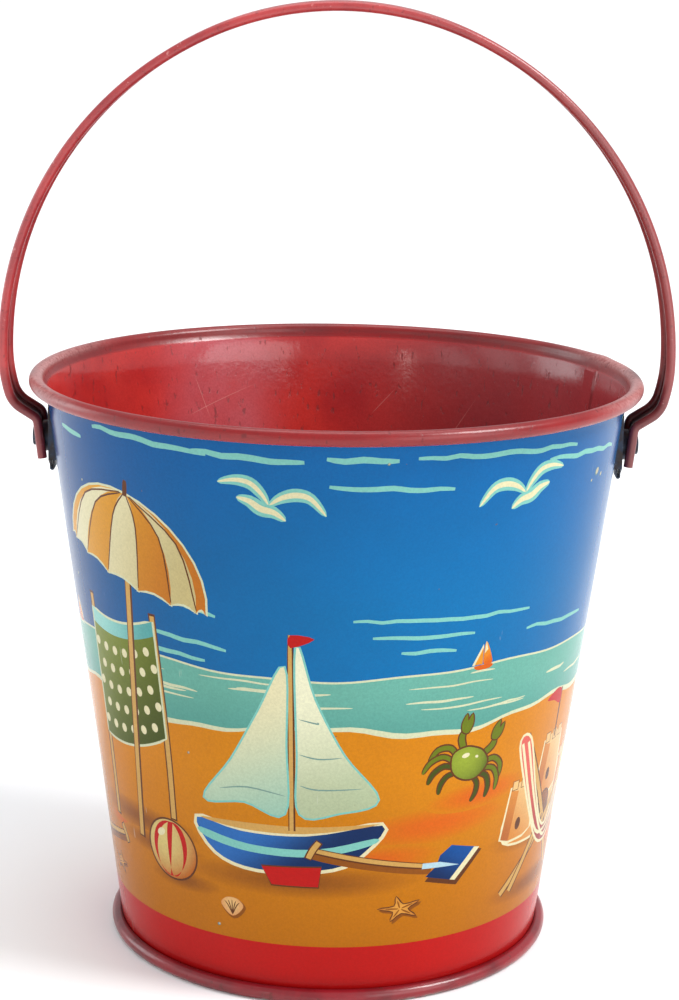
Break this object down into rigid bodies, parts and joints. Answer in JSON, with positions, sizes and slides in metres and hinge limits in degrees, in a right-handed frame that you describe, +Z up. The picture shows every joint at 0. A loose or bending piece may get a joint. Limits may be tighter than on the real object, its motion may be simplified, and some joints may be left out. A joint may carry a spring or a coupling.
{
  "type": "sand bucket",
  "caption": "Child's tapered tin sand bucket with a rolled wired rim, a seamed foot, riveted side ears and a swinging arched strap handle.",
  "frame": {"origin": "centre of the circle on which the foot bead stands", "axes": "+Z up, +X from the left handle pivot to the right one, -Y towards the front of the bucket"},
  "size_m": [0.1644, 0.15, 0.2311],
  "materials": {
    "printed_tin": "gloss lacquer over a printed beach scene outside, red lacquer inside and on the rim",
    "red_lacquer": "gloss red lacquer on tinplate",
    "red_enamel": "semi-gloss red enamel, worn to dark metal at the ends",
    "worn_tin": "dark tarnished tinplate",
    "bare_steel": "dull drawn steel"
  },
  "bodies": {
    "bucket": {"body_shell": "printed_tin", "rim_wire": "bare_steel", "base_pan": "red_lacquer", "ear_left": "worn_tin", "ear_right": "worn_tin", "washer_left": "bare_steel", "washer_right": "bare_steel", "rivet_left": "worn_tin", "rivet_right": "worn_tin"},
    "handle": {"handle_strap": "red_enamel"}
  },
  "joints": [
    {"name": "handle_swing", "type": "hinge", "parent": "bucket", "child": "handle", "pos_m": [0, 0, 0.125], "axis": [1, 0, 0], "range_deg": [-142, 142]}
  ]
}
